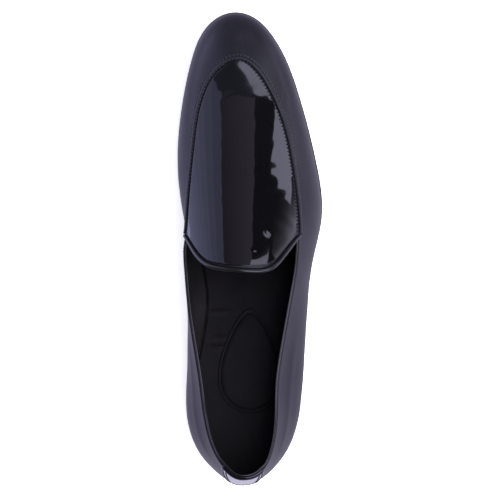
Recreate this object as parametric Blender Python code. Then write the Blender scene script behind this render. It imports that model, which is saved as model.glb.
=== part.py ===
"""Slip-on dress shoe for the right foot, standing empty on a floor.

Metres, +Z up. The toe points along +Y and the outer (lateral) side of the foot lies at +X.
Stations run from 0 at the back of the heel to 1 at the tip of the toe.
"""

import math

import bmesh
import bpy
import numpy as np

# Driving dimensions
SHOE_LENGTH = 0.300
BALL_WIDTH = 0.0925
INSTEP_HEIGHT = 0.077  # top of the vamp at the throat, above the floor
BACK_HEIGHT = 0.084  # collar at the back of the heel, above the floor
HEEL_HEIGHT = 0.025  # top of the sole under the heel, above the floor

# Walls, plates and clearances
UPPER_WALL = 0.0020
SEAT_GAP = 0.0003
SOLE_EDGE = 0.0012  # how far the sole stands out past the foot of the upper
INSOLE_THICK = 0.0025
INSOLE_PLAY = 0.0005
SOCK_THICK = 0.0008
APRON_THICK = 0.0008
APRON_INSET = 0.0008  # how far the apron stays inside its seam
SEAM_WIDTH = 0.0024
SEAM_THICK = 0.0012
TAB_THICK = 0.0009

# Sole bottom
ARCH_HEIGHT = 0.0088
ARCH_START, ARCH_CROWN, ARCH_END = 0.175, 0.385, 0.600
TOE_SPRING = 0.0114
SPRING_START, SPRING_POWER = 0.715, 1.9
EDGE_ROUND = 0.0012
EDGE_CURVE = ((1.0, 0.0), (0.5, 0.3), (0.15, 0.6), (0.0, 1.0))  # shares of its bevel and its height

# Heel lift and its wing-shaped joint
LIFT_THICK = 0.0060
JOINT_GAP = 0.0008
JOINT_APEX = (-0.0061, 0.0338)
JOINT_MEDIAL = {"rise": 0.0215, "spread": 0.0116}
JOINT_LATERAL = {"rise": 0.0092, "spread": 0.0091}

# Axis of the sole and middle of the top line, from heel to toe, measured from the middle of the ball
SOLE_AXIS = (-0.0048, -0.0086)
TOP_AXIS = (-0.0040, -0.0069)

# Tongue: its edge curves back from the two notches
NOTCH_STATION = 0.525
TONGUE_DEPTH = 0.0212

# Bindings, rolled beads: the throat's slims towards the notches, the collar's stops short of them
THROAT_BEAD = 0.0030
THROAT_SLIMMING = {"share": 0.5, "start": 0.65}
THROAT_CLEAR = 0.0004
COLLAR_BEAD = 0.0018
COLLAR_BEAD_END = 0.935

# Heel tab on the back of the quarters, and the drop-shaped heel sock
TAB_HALF_WIDTH = 0.0122
TAB_DROP = 0.030
TAB_TAPER = 0.30
TAB_BELOW_RIM = 0.0006
SOCK_BACK, SOCK_FRONT = 0.045, 0.111
SOCK_WIDTH = 0.041
SOCK_MIDDLE = 0.0005
SOCK_DROP = (1.28, 0.56)  # fullness of the drop at its back and its point

# Fineness of the meshes
QUARTER_STEPS = 20
VAMP_STEPS = 20
WALL_ROWS = 9
VAMP_COLUMNS = 20

MEDIAL, LATERAL = -1, 1


def table(columns, *rows):
    """A table with named columns."""
    return dict(zip(columns.split(), np.array(rows, float).T))


# Outline of the sole: half widths from its axis, as shares of the ball width
OUTLINE = table(
    "station medial lateral",
    (0.000, 0.000, 0.000),
    (0.030, 0.192, 0.205),
    (0.080, 0.314, 0.332),
    (0.150, 0.360, 0.401),
    (0.240, 0.336, 0.416),
    (0.320, 0.281, 0.424),
    (0.390, 0.256, 0.443),
    (0.460, 0.287, 0.487),
    (0.530, 0.352, 0.562),
    (0.600, 0.398, 0.585),
    (0.680, 0.419, 0.549),
    (0.760, 0.403, 0.491),
    (0.830, 0.367, 0.428),
    (0.890, 0.321, 0.361),
    (0.940, 0.264, 0.277),
    (0.975, 0.185, 0.187),
    (1.000, 0.000, 0.000),
)

# Top of the sole along the foot, as a share of the heel height
FOOT_LINE = table(
    "station height",
    (0.00, 1.00),
    (0.10, 0.96),
    (0.20, 0.87),
    (0.30, 0.73),
    (0.40, 0.55),
    (0.50, 0.39),
    (0.60, 0.30),
    (0.68, 0.27),
    (0.76, 0.30),
    (0.84, 0.38),
    (0.92, 0.52),
    (1.00, 0.69),
)

# How far the sole's edge is cut in under the waist and the heel, in metres
BEVEL = table(
    "station medial lateral",
    (0.00, 0.0016, 0.0016),
    (0.16, 0.0020, 0.0020),
    (0.24, 0.0034, 0.0026),
    (0.32, 0.0080, 0.0034),
    (0.36, 0.0098, 0.0074),
    (0.42, 0.0100, 0.0086),
    (0.50, 0.0060, 0.0064),
    (0.57, 0.0034, 0.0056),
    (0.64, 0.0026, 0.0052),
    (0.78, 0.0026, 0.0044),
    (0.92, 0.0030, 0.0034),
    (1.00, 0.0030, 0.0030),
)

# Ridge of the vamp: height as a share of the instep, and how sharply it is crowned, per metre
RIDGE = table(
    "station height crown",
    (0.440, 1.020, 10.8),
    (0.500, 0.920, 10.3),
    (0.555, 0.832, 9.8),
    (0.610, 0.752, 9.3),
    (0.670, 0.681, 8.9),
    (0.735, 0.618, 8.6),
    (0.800, 0.575, 8.5),
    (0.850, 0.554, 8.5),
    (0.900, 0.545, 8.5),
)

# Top line: collar of the quarters up to the notch, then the seam of the apron.
# For each foot station: station of the top line, and half widths as shares of the ball width
TOP_LINE = table(
    "station along medial lateral",
    (0.000, 0.029, 0.000, 0.000),
    (0.030, 0.046, 0.109, 0.136),
    (0.080, 0.086, 0.196, 0.203),
    (0.150, 0.150, 0.255, 0.236),
    (0.240, 0.233, 0.290, 0.250),
    (0.320, 0.317, 0.332, 0.295),
    (0.390, 0.387, 0.362, 0.338),
    (0.460, 0.459, 0.380, 0.378),
    (0.495, 0.496, 0.383, 0.390),
    (0.525, 0.528, 0.368, 0.396),
    (0.560, 0.558, 0.358, 0.395),
    (0.600, 0.594, 0.350, 0.388),
    (0.680, 0.661, 0.330, 0.363),
    (0.760, 0.723, 0.307, 0.330),
    (0.830, 0.778, 0.281, 0.282),
    (0.890, 0.823, 0.240, 0.220),
    (0.940, 0.858, 0.180, 0.156),
    (0.975, 0.881, 0.106, 0.092),
    (1.000, 0.893, 0.000, 0.000),
)

# Height of the collar behind the notch, as a share of the back height
COLLAR = table(
    "station height",
    (0.000, 1.000),
    (0.030, 0.980),
    (0.080, 0.922),
    (0.150, 0.842),
    (0.240, 0.788),
    (0.320, 0.762),
    (0.390, 0.744),
    (0.460, 0.716),
)

# Edge of the tongue: depth behind the notches, across the vamp from medial to lateral
TONGUE = table(
    "across depth",
    (-1.00, 0.00),
    (-0.88, 0.31),
    (-0.76, 0.58),
    (-0.62, 0.79),
    (-0.42, 0.91),
    (-0.15, 0.97),
    (0.15, 1.00),
    (0.40, 0.98),
    (0.56, 0.85),
    (0.70, 0.58),
    (0.85, 0.27),
    (1.00, 0.00),
)

# Section of the wall: lean of its top from level in degrees, swell of its foot in metres,
# and the length of the handles that shape it, as shares of the wall's rise and chord
SECTION = table(
    "station medial_lean lateral_lean medial_swell lateral_swell rise reach",
    (0.000, 80, 80, 0.0018, 0.0018, 0.34, 0.36),
    (0.080, 76, 76, 0.0030, 0.0030, 0.34, 0.36),
    (0.150, 74, 72, 0.0064, 0.0050, 0.34, 0.36),
    (0.240, 76, 68, 0.0086, 0.0092, 0.35, 0.36),
    (0.320, 80, 67, 0.0118, 0.0104, 0.36, 0.36),
    (0.390, 88, 66, 0.0100, 0.0090, 0.37, 0.36),
    (0.460, 92, 63, 0.0060, 0.0056, 0.39, 0.37),
    (0.525, 86, 57, 0.0010, 0.0024, 0.41, 0.38),
    (0.600, 63, 50, 0.0000, 0.0008, 0.43, 0.39),
    (0.680, 47, 44, 0.0006, 0.0006, 0.46, 0.40),
    (0.760, 40, 38, 0.0008, 0.0008, 0.49, 0.41),
    (0.830, 33, 32, 0.0010, 0.0010, 0.52, 0.42),
    (0.890, 27, 27, 0.0012, 0.0012, 0.55, 0.43),
    (0.940, 21, 21, 0.0013, 0.0013, 0.57, 0.44),
    (1.000, 17, 17, 0.0014, 0.0014, 0.58, 0.45),
)


def spline(knots, values, level_ends=False):
    """Cubic spline through the values. Its ends run level, or else straight."""
    count = len(knots)
    step = np.diff(knots)
    slope = np.diff(values) / step
    matrix = np.eye(count)
    load = np.zeros(count)
    for i in range(1, count - 1):
        matrix[i, i - 1 : i + 2] = step[i - 1], 2 * (step[i - 1] + step[i]), step[i]
        load[i] = 6 * (slope[i] - slope[i - 1])
    if level_ends:
        matrix[0, :2] = 2 * step[0], step[0]
        matrix[-1, -2:] = step[-1], 2 * step[-1]
        load[0], load[-1] = 6 * slope[0], -6 * slope[-1]
    bend = np.linalg.solve(matrix, load)

    def at(x):
        i = int(np.clip(np.searchsorted(knots, x) - 1, 0, count - 2))
        h, left, right = step[i], knots[i + 1] - x, x - knots[i]
        cubic = (bend[i] * left**3 + bend[i + 1] * right**3) / (6 * h)
        straight = (values[i] / h - bend[i] * h / 6) * left
        return cubic + straight + (values[i + 1] / h - bend[i + 1] * h / 6) * right

    return at


def turn_of(station):
    """Angle from heel (0) to toe (pi) of a station: steps of it close up where the outline rounds."""
    return np.arccos(1 - 2 * np.clip(station, 0, 1))


def station_of(turn):
    return (1 - math.cos(turn)) / 2


def by_turn(columns, name, level_ends):
    return spline(turn_of(columns["station"]), columns[name], level_ends)


SIDE_NAME = {MEDIAL: "medial", LATERAL: "lateral"}
outline_width = {s: by_turn(OUTLINE, n, False) for s, n in SIDE_NAME.items()}
top_width = {s: by_turn(TOP_LINE, n, False) for s, n in SIDE_NAME.items()}
top_along = by_turn(TOP_LINE, "along", True)
wall_lean = {s: by_turn(SECTION, n + "_lean", True) for s, n in SIDE_NAME.items()}
wall_swell = {s: by_turn(SECTION, n + "_swell", True) for s, n in SIDE_NAME.items()}
wall_rise = by_turn(SECTION, "rise", True)
wall_reach = by_turn(SECTION, "reach", True)
ridge_height = spline(RIDGE["station"], RIDGE["height"])
ridge_crown = spline(RIDGE["station"], RIDGE["crown"])
foot_height = spline(FOOT_LINE["station"], FOOT_LINE["height"])
tongue_depth = spline(TONGUE["across"], TONGUE["depth"])


def between(ends, share):
    return ends[0] + (ends[1] - ends[0]) * share


def smooth_step(share):
    share = min(max(share, 0.0), 1.0)
    return share * share * (3 - 2 * share)


# The sole's own forms


def sole_top(station):
    return HEEL_HEIGHT * foot_height(station)


def sole_bottom(station):
    """Tread: flat under the heel and the ball, raised at the arch and the toe."""
    climb = (station - ARCH_START) / (ARCH_CROWN - ARCH_START)
    fall = (station - ARCH_CROWN) / (ARCH_END - ARCH_CROWN)
    arch = ARCH_HEIGHT * (smooth_step(climb) - smooth_step(fall))
    past = max(0.0, station - SPRING_START) / (1 - SPRING_START)
    return arch + TOE_SPRING * past**SPRING_POWER


def outline_point(side, turn):
    station = station_of(turn)
    x = between(SOLE_AXIS, station) + side * BALL_WIDTH * outline_width[side](turn)
    return np.array((x, SHOE_LENGTH * station))


def outward(side, turn):
    """Level direction out of the sole's outline."""
    if turn < 1e-6 or turn > math.pi - 1e-6:
        return np.array((0.0, -1.0 if turn < 1 else 1.0))
    small = 1e-4
    ahead, behind = outline_point(side, turn + small), outline_point(side, turn - small)
    x, y = ahead - behind
    return side * np.array((y, -x)) / math.hypot(x, y)


def inset_point(side, turn, inset):
    return outline_point(side, turn) - inset * outward(side, turn)


# The upper's own forms


def vamp_height(x, y):
    """Crowned top of the vamp."""
    station = y / SHOE_LENGTH
    across = x - between(TOP_AXIS, foot_station(y))
    return INSTEP_HEIGHT * ridge_height(station) - ridge_crown(station) * across**2


FOOT_TURNS = np.linspace(0, math.pi, 721)
TOP_STATIONS = np.array([top_along(turn) for turn in FOOT_TURNS])


def foot_turn(y):
    """Turn of the foot line that leads to the top line at this length."""
    return float(np.interp(y / SHOE_LENGTH, TOP_STATIONS, FOOT_TURNS))


def foot_station(y):
    return station_of(foot_turn(y))


def top_plan(side, turn):
    x = between(TOP_AXIS, station_of(turn)) + side * BALL_WIDTH * top_width[side](turn)
    return x, SHOE_LENGTH * top_along(turn)


def collar_height(side):
    """Height of the collar, which runs smoothly into the seam of the apron ahead of the notch."""
    ahead = [s for s in TOP_LINE["station"] if NOTCH_STATION <= s < NOTCH_STATION + 0.2]
    stations = np.append(COLLAR["station"], ahead)
    seam = [vamp_height(*top_plan(side, float(turn_of(s)))) for s in ahead]
    return spline(turn_of(stations), np.append(BACK_HEIGHT * COLLAR["height"], seam))


collar_rise = {side: collar_height(side) for side in SIDE_NAME}
NOTCH_TURN = float(turn_of(NOTCH_STATION))


def top_point(side, turn):
    x, y = top_plan(side, turn)
    z = vamp_height(x, y) if turn >= NOTCH_TURN else collar_rise[side](turn)
    return np.array((x, y, z))


def wall_point(side, turn, share):
    """Point of the upper's outside, from the sole (share 0) up to the top line (share 1)."""
    out = np.append(outward(side, turn), 0.0)
    up = np.array((0.0, 0.0, 1.0))
    foot = np.append(inset_point(side, turn, SOLE_EDGE), 0.0)
    foot += up * (sole_top(station_of(turn)) + SEAT_GAP)
    top = top_point(side, turn)
    lean = math.radians(wall_lean[side](turn))
    reach = wall_reach(turn) * np.linalg.norm(top - foot)
    low = foot + out * wall_swell[side](turn) + up * wall_rise(turn) * (top - foot)[2]
    high = top + reach * (out * math.cos(lean) - up * math.sin(lean))
    rest = 1 - share
    return (
        rest**3 * foot
        + 3 * rest**2 * share * low
        + 3 * rest * share**2 * high
        + share**3 * top
    )


def wall_share(side, turn, below):
    """Share of the wall that lies this far below the top line, measured along the wall."""
    shares = np.linspace(1, 0, 81)
    points = np.array([wall_point(side, turn, s) for s in shares])
    run = np.append(0, np.cumsum(np.linalg.norm(np.diff(points, axis=0), axis=1)))
    return float(np.interp(below, run, shares))


def tongue_edge(across):
    """Length of the tongue's edge at a share (-1 medial to 1 lateral) of the vamp's width."""
    notch = SHOE_LENGTH * top_along(NOTCH_TURN)
    return notch - TONGUE_DEPTH * tongue_depth(across)


def vamp_point(across, y, inset=0.0):
    """Point of the vamp at a share of its width, inside the seam by the inset."""
    side = LATERAL if across >= 0 else MEDIAL
    turn = max(foot_turn(y + inset), NOTCH_TURN)
    half_width = max(BALL_WIDTH * top_width[side](turn) - inset, 0.0)
    x = between(TOP_AXIS, foot_station(y)) + across * half_width
    return np.array((x, y, vamp_height(x, y)))


# Mesh helpers


def new_object(name, mesh, material):
    obj = bpy.data.objects.new(name, mesh)
    obj.data.materials.append(material)
    obj.parent = shoe
    bpy.context.scene.collection.objects.link(obj)
    return obj


def mesh_from(bm, name, sharp_angle=35):
    mesh = bpy.data.meshes.new(name)
    bm.to_mesh(mesh)
    bm.free()
    mesh.shade_smooth()
    mesh.set_sharp_from_angle(angle=math.radians(sharp_angle))
    return mesh


def quad_grid(bm, rows, closed=False):
    """Faces between neighbouring rows of vertices; a vertex that repeats gives a triangle."""
    for low, high in zip(rows, rows[1:]):
        count = len(low)
        for i in range(count if closed else count - 1):
            corners = [low[i], low[(i + 1) % count], high[(i + 1) % count], high[i]]
            corners = list(dict.fromkeys(corners))
            if len(corners) > 2:
                bm.faces.new(corners)


def new_verts(bm, points):
    return [bm.verts.new(p) for p in points]


def thicken(obj, thickness):
    """A wall of this thickness, outward of the mesh where positive and inward where negative."""
    wall = obj.modifiers.new("wall", "SOLIDIFY")
    wall.thickness = abs(thickness)
    wall.offset = 1 if thickness > 0 else -1
    wall.use_even_offset = True
    wall.use_quality_normals = True


def lift_off(bm, distance):
    """Moves an open sheet outward along its normals."""
    bm.normal_update()
    for vert, normal in [(v, v.normal.copy()) for v in bm.verts]:
        vert.co += normal * distance


def loop_turns(steps):
    """(side, turn) once round the shoe: up the lateral side to the toe and down the medial side."""
    turns = np.linspace(0, math.pi, steps + 1)
    lateral = [(LATERAL, t) for t in turns]
    medial = [(MEDIAL, t) for t in turns[-2:0:-1]]
    return lateral + medial


def closing_ladder(bm, loop, steps, facing_up):
    """Closes a loop from loop_turns with cross bars from side to side."""
    lateral = loop[: steps + 1]
    medial = [loop[0]] + loop[:steps:-1] + [loop[steps]]
    rows = [lateral, medial] if facing_up else [medial, lateral]
    quad_grid(bm, [list(reversed(row)) for row in rows] if facing_up else rows)


def plate(name, levels, steps):
    """Closed solid through level loops, from the bottom one to the top one."""
    bm = bmesh.new()
    loops = [new_verts(bm, points) for points in levels]
    quad_grid(bm, loops, closed=True)
    closing_ladder(bm, loops[0], steps, False)
    closing_ladder(bm, loops[-1], steps, True)
    bmesh.ops.recalc_face_normals(bm, faces=bm.faces)
    return mesh_from(bm, name)


def finish_of(name, colour, roughness, coat=0.0):
    material = bpy.data.materials.new(name)
    material.use_nodes = True
    shader = material.node_tree.nodes["Principled BSDF"]
    shader.inputs["Base Color"].default_value = (*colour, 1)
    shader.inputs["Roughness"].default_value = roughness
    shader.inputs["Metallic"].default_value = 0.0
    shader.inputs["Coat Weight"].default_value = coat
    return material


# Pieces


def sole_levels():
    """Loops of the sole from the tread's edge up its rounded side."""
    steps = QUARTER_STEPS + VAMP_STEPS
    loops = [[] for _ in range(1 + len(EDGE_CURVE))]
    for side, turn in loop_turns(steps):
        station = station_of(turn)
        low, high = sole_bottom(station), sole_top(station)
        cut = np.interp(station, BEVEL["station"], BEVEL[SIDE_NAME[side]])
        foot = low + min(EDGE_ROUND, 0.25 * (high - low))
        loops[0].append((*inset_point(side, turn, cut + EDGE_ROUND / 2), low))
        for loop, (inward, upward) in zip(loops[1:], EDGE_CURVE):
            loop.append((*inset_point(side, turn, inward * cut), between((foot, high), upward)))
    return loops, steps


def joint_line(x, gap):
    """Wing-shaped joint between sole and heel lift, set back by the gap."""
    wing = JOINT_MEDIAL if x < JOINT_APEX[0] else JOINT_LATERAL
    away = (x - JOINT_APEX[0]) ** 2
    return JOINT_APEX[1] - gap + wing["rise"] * away / (away + wing["spread"] ** 2)


def lift_cutter(name, gap, height):
    """Block behind the joint line, from below the floor up to this height."""
    bm = bmesh.new()
    half, below, behind, bars = 0.05, -0.003, -0.02, 40
    xs = np.linspace(-half, half, bars + 1) + JOINT_APEX[0]
    back = new_verts(bm, [(x, behind, below) for x in xs])
    front = new_verts(bm, [(x, joint_line(x, gap), below) for x in xs])
    quad_grid(bm, [front, back])
    top = bmesh.ops.extrude_face_region(bm, geom=bm.faces[:])["geom"]
    raised = [v for v in top if isinstance(v, bmesh.types.BMVert)]
    bmesh.ops.translate(bm, verts=raised, vec=(0, 0, height - below))
    bmesh.ops.recalc_face_normals(bm, faces=bm.faces)
    cutter = new_object(name, mesh_from(bm, name), rubber)
    cutter.hide_render = True
    cutter.display_type = "WIRE"
    return cutter


def cut_with(obj, cutter, operation):
    cut = obj.modifiers.new(operation.lower(), "BOOLEAN")
    cut.operation = operation
    cut.object = cutter


def make_sole():
    loops, steps = sole_levels()
    outsole = new_object("outsole", plate("outsole", loops, steps), rubber)
    lift = new_object("heel_lift", plate("heel_lift", loops, steps), rubber)
    pocket = lift_cutter("lift_pocket", 0.0, LIFT_THICK + SEAT_GAP)
    cut_with(outsole, pocket, "DIFFERENCE")
    cut_with(lift, lift_cutter("lift_block", JOINT_GAP, LIFT_THICK), "INTERSECT")


def wall_columns():
    """(side, turn) of the upper's wall lines round the shoe, with one at each notch."""
    quarter = np.linspace(0, NOTCH_TURN, QUARTER_STEPS + 1)
    vamp = np.linspace(NOTCH_TURN, math.pi, VAMP_STEPS + 1)
    turns = np.append(quarter, vamp[1:])
    return [(LATERAL, t) for t in turns] + [(MEDIAL, t) for t in turns[-2:0:-1]]


def make_upper():
    bm = bmesh.new()
    columns = wall_columns()
    shares = np.linspace(0, 1, WALL_ROWS + 1)
    rows = [new_verts(bm, [wall_point(*c, s) for c in columns]) for s in shares]
    quad_grid(bm, rows, closed=True)
    fill_vamp(bm, rows[-1], len(columns))
    mesh = mesh_from(bm, "upper")
    thicken(new_object("upper", mesh, calf), -UPPER_WALL)


def fill_vamp(bm, top_row, around):
    """Vamp between the two sides of the apron seam, from the tongue's edge to the front of the apron."""
    tip_y = top_row[QUARTER_STEPS + VAMP_STEPS].co.y
    notch_y = top_row[QUARTER_STEPS].co.y
    bars = []
    for step in range(VAMP_STEPS + 1):
        lateral = top_row[QUARTER_STEPS + step]
        medial = top_row[(around - QUARTER_STEPS - step) % around]
        share = (lateral.co.y - notch_y) / (tip_y - notch_y)
        bar = [medial]
        for i in range(1, VAMP_COLUMNS):
            across = 2 * i / VAMP_COLUMNS - 1
            y = between((tongue_edge(across), tip_y), share)
            at_tip = step == VAMP_STEPS
            bar.append(lateral if at_tip else bm.verts.new(vamp_point(across, y)))
        bars.append(bar + [lateral])
    quad_grid(bm, bars)


def make_apron():
    """Plug that lies on the vamp, inside the seam."""
    bm = bmesh.new()
    notch = SHOE_LENGTH * top_along(NOTCH_TURN)
    tip = SHOE_LENGTH * top_along(math.pi)
    acrosses = np.linspace(-1, 1, VAMP_COLUMNS + 1)
    bars = []
    for turn in np.linspace(NOTCH_TURN, math.pi, VAMP_STEPS + 1)[:-1]:
        share = (SHOE_LENGTH * top_along(turn) - notch) / (tip - notch)
        ys = [between((tongue_edge(a) + APRON_INSET, tip - APRON_INSET), share) for a in acrosses]
        bars.append(new_verts(bm, [vamp_point(a, y, APRON_INSET) for a, y in zip(acrosses, ys)]))
    front = bm.verts.new(vamp_point(0, tip - APRON_INSET))
    quad_grid(bm, bars + [[front] * (VAMP_COLUMNS + 1)])
    lift_off(bm, SEAT_GAP)
    thicken(new_object("apron", mesh_from(bm, "apron"), patent), APRON_THICK)


def make_apron_seam():
    """Raised edge of the mudguard along the apron, from notch to notch round the toe."""
    bm = bmesh.new()
    turns = np.linspace(NOTCH_TURN, math.pi, VAMP_STEPS + 1)
    around = [(LATERAL, t) for t in turns] + [(MEDIAL, t) for t in turns[-2::-1]]
    belows = (SEAM_WIDTH + SEAT_GAP, 0.5 * SEAM_WIDTH + SEAT_GAP, SEAT_GAP)
    rows = []
    for below in belows:
        points = [wall_point(*c, wall_share(*c, below)) for c in around]
        rows.append(new_verts(bm, points))
    quad_grid(bm, rows)
    lift_off(bm, SEAT_GAP)
    thicken(new_object("apron_seam", mesh_from(bm, "apron_seam"), calf), SEAM_THICK)


def bead(name, path, width, material, slimming=None):
    """Round piping along a path, slimmed point by point."""
    curve = bpy.data.curves.new(name, "CURVE")
    curve.dimensions = "3D"
    curve.bevel_depth = width / 2
    curve.bevel_resolution = 2
    curve.use_fill_caps = True
    line = curve.splines.new("POLY")
    line.points.add(len(path) - 1)
    for point, place, share in zip(line.points, path, slimming or [1.0] * len(path)):
        point.co = (*place, 1)
        point.radius = share
    return new_object(name, curve, material)


def make_throat_binding():
    """Piping that closes the tongue's edge, at mid wall, from notch to notch."""
    path, slimming = [], []
    for across in np.linspace(-1, 1, VAMP_COLUMNS + 1)[1:-1]:
        start = THROAT_SLIMMING["start"]
        slim = 1 - THROAT_SLIMMING["share"] * smooth_step((abs(across) - start) / (1 - start))
        off_edge = slim * THROAT_BEAD / 2 + THROAT_CLEAR
        slimming.append(slim)
        y = tongue_edge(across)
        edge = vamp_point(across, y)
        along = vamp_point(across + 0.01, tongue_edge(across + 0.01)) - edge
        inward = vamp_point(across, y + 0.001) - edge
        normal = np.cross(along, inward)
        normal /= np.linalg.norm(normal)
        back = np.cross(along, normal)
        back /= np.linalg.norm(back)
        path.append(edge + back * off_edge - normal * UPPER_WALL / 2)
    bead("throat_binding", path, THROAT_BEAD, calf, slimming)


def make_collar_binding():
    """Thin piping on the rim of the quarters, from notch to notch round the heel."""
    turns = np.linspace(0, COLLAR_BEAD_END * NOTCH_TURN, 2 * QUARTER_STEPS + 1)
    around = [(MEDIAL, t) for t in turns[:0:-1]] + [(LATERAL, t) for t in turns]
    path = []
    for side, turn in around:
        top = wall_point(side, turn, 1.0)
        rise = top - wall_point(side, turn, 0.97)
        rise /= np.linalg.norm(rise)
        out = np.append(outward(side, turn), 0.0)
        normal = out - rise * out.dot(rise)
        normal /= np.linalg.norm(normal)
        path.append(top + rise * (COLLAR_BEAD / 2 + SEAT_GAP) - normal * UPPER_WALL / 2)
    bead("collar_binding", path, COLLAR_BEAD, calf)


def turns_off_middle(side, below, offsets):
    """Turns where the wall, this far below the collar, is so far from the middle of the back."""
    turns = np.linspace(0, NOTCH_TURN / 2, 25)
    xs = np.array([wall_point(side, t, wall_share(side, t, below))[0] for t in turns])
    return np.interp(offsets, np.abs(xs - xs[0]), turns)


def make_heel_tab():
    """Patch on the back of the quarters, narrowing downwards."""
    bm = bmesh.new()
    bars, drops = 8, 7
    rows = []
    for fall in np.linspace(1, 0, drops + 1):
        below = TAB_BELOW_RIM + TAB_DROP * fall
        half = TAB_HALF_WIDTH * (1 - TAB_TAPER * fall**2)
        offsets = np.linspace(0, half, bars + 1)
        row = [(MEDIAL, t) for t in turns_off_middle(MEDIAL, below, offsets)[:0:-1]]
        row += [(LATERAL, t) for t in turns_off_middle(LATERAL, below, offsets)]
        rows.append(new_verts(bm, [wall_point(*c, wall_share(*c, below)) for c in row]))
    quad_grid(bm, rows)
    lift_off(bm, SEAT_GAP)
    thicken(new_object("heel_tab", mesh_from(bm, "heel_tab"), patent), TAB_THICK)


def insole_top(station):
    return sole_top(station) + SEAT_GAP + INSOLE_THICK


def make_insole():
    steps = QUARTER_STEPS + VAMP_STEPS
    inset = SOLE_EDGE + UPPER_WALL + INSOLE_PLAY
    low, high = [], []
    for side, turn in loop_turns(steps):
        plan = inset_point(side, turn, inset)
        station = plan[1] / SHOE_LENGTH
        low.append((*plan, sole_top(station) + SEAT_GAP))
        high.append((*plan, insole_top(station)))
    new_object("insole", plate("insole", [low, high], steps), lining)


def make_heel_sock():
    """Drop-shaped pad on the heel of the insole, pointed towards the toe."""
    steps = 16
    levels = [[], []]
    for side, turn in loop_turns(steps):
        share = station_of(turn)
        y = between((SOCK_BACK, SOCK_FRONT), share)
        half = SOCK_WIDTH / 2 * math.sin(turn) * between(SOCK_DROP, share)
        floor = insole_top(y / SHOE_LENGTH) + SEAT_GAP
        for level, height in zip(levels, (floor, floor + SOCK_THICK)):
            level.append((SOCK_MIDDLE + side * half, y, height))
    new_object("heel_sock", plate("heel_sock", levels, steps), lining)


def stand_on_middle():
    """Puts the reference point on the floor, under the middle of the shoe."""
    bpy.context.view_layer.update()
    corners = np.array([c for o in shoe.children for c in o.bound_box if not o.hide_render])
    middle = (corners.min(0) + corners.max(0)) / 2
    shoe.location = (-middle[0], -middle[1], 0)


for old in list(bpy.data.objects):
    bpy.data.objects.remove(old)

shoe = bpy.data.objects.new("shoe", None)
bpy.context.scene.collection.objects.link(shoe)
calf = finish_of("calf leather", (0.020, 0.020, 0.026), 0.42)
patent = finish_of("patent leather", (0.006, 0.006, 0.008), 0.08, 1.0)
rubber = finish_of("sole rubber", (0.022, 0.021, 0.026), 0.50)
lining = finish_of("lining leather", (0.014, 0.013, 0.014), 0.60)

make_sole()
make_upper()
make_apron()
make_apron_seam()
make_throat_binding()
make_collar_binding()
make_heel_tab()
make_insole()
make_heel_sock()
stand_on_middle()
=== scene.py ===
import math

import bmesh
import bpy
import numpy as np
from mathutils import Matrix, Quaternion, Vector


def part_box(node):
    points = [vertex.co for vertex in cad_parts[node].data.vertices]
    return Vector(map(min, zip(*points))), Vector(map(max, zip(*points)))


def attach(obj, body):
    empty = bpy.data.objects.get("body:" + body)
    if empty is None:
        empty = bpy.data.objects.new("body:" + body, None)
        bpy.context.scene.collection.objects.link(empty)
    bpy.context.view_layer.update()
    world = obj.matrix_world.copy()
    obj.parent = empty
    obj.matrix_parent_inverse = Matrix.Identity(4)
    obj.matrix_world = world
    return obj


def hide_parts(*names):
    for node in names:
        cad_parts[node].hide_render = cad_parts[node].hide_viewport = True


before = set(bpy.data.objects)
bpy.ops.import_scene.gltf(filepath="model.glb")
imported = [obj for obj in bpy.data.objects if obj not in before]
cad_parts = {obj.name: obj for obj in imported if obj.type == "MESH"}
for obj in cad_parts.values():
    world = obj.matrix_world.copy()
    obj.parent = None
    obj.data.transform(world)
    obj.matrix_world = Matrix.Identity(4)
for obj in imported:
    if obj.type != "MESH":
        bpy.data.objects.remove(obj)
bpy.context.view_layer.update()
print("frame loaded")


# The last: the same sizes as the solids, in metres, from the heel's back (0) to the toe's tip (1)
last = {
    "length": 0.300,
    "ballWidth": 0.0925,
    "instep": 0.077,
    "back": 0.084,
    "heel": 0.025,
    "wall": 0.0020,
    "seatGap": 0.0003,
    "soleEdge": 0.0012,
    "soleAxis": (-0.0048, -0.0086),
    "topAxis": (-0.0040, -0.0069),
    "notch": 0.525,
    "tongueDepth": 0.0212,
    "seamRun": 0.2,
}


def columns(names, *rows):
    return dict(zip(names.split(), np.array(rows, float).T))


# half widths of the sole from its axis, as shares of the ball width
outlineTable = columns(
    "station medial lateral",
    (0, 0, 0), (0.03, 0.192, 0.205), (0.08, 0.314, 0.332), (0.15, 0.36, 0.401),
    (0.24, 0.336, 0.416), (0.32, 0.281, 0.424), (0.39, 0.256, 0.443), (0.46, 0.287, 0.487),
    (0.53, 0.352, 0.562), (0.6, 0.398, 0.585), (0.68, 0.419, 0.549), (0.76, 0.403, 0.491),
    (0.83, 0.367, 0.428), (0.89, 0.321, 0.361), (0.94, 0.264, 0.277), (0.975, 0.185, 0.187),
    (1, 0, 0),
)
# top of the sole, as a share of the heel height
footLineTable = columns(
    "station height",
    (0, 1), (0.1, 0.96), (0.2, 0.87), (0.3, 0.73), (0.4, 0.55), (0.5, 0.39), (0.6, 0.3),
    (0.68, 0.27), (0.76, 0.3), (0.84, 0.38), (0.92, 0.52), (1, 0.69),
)
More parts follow.
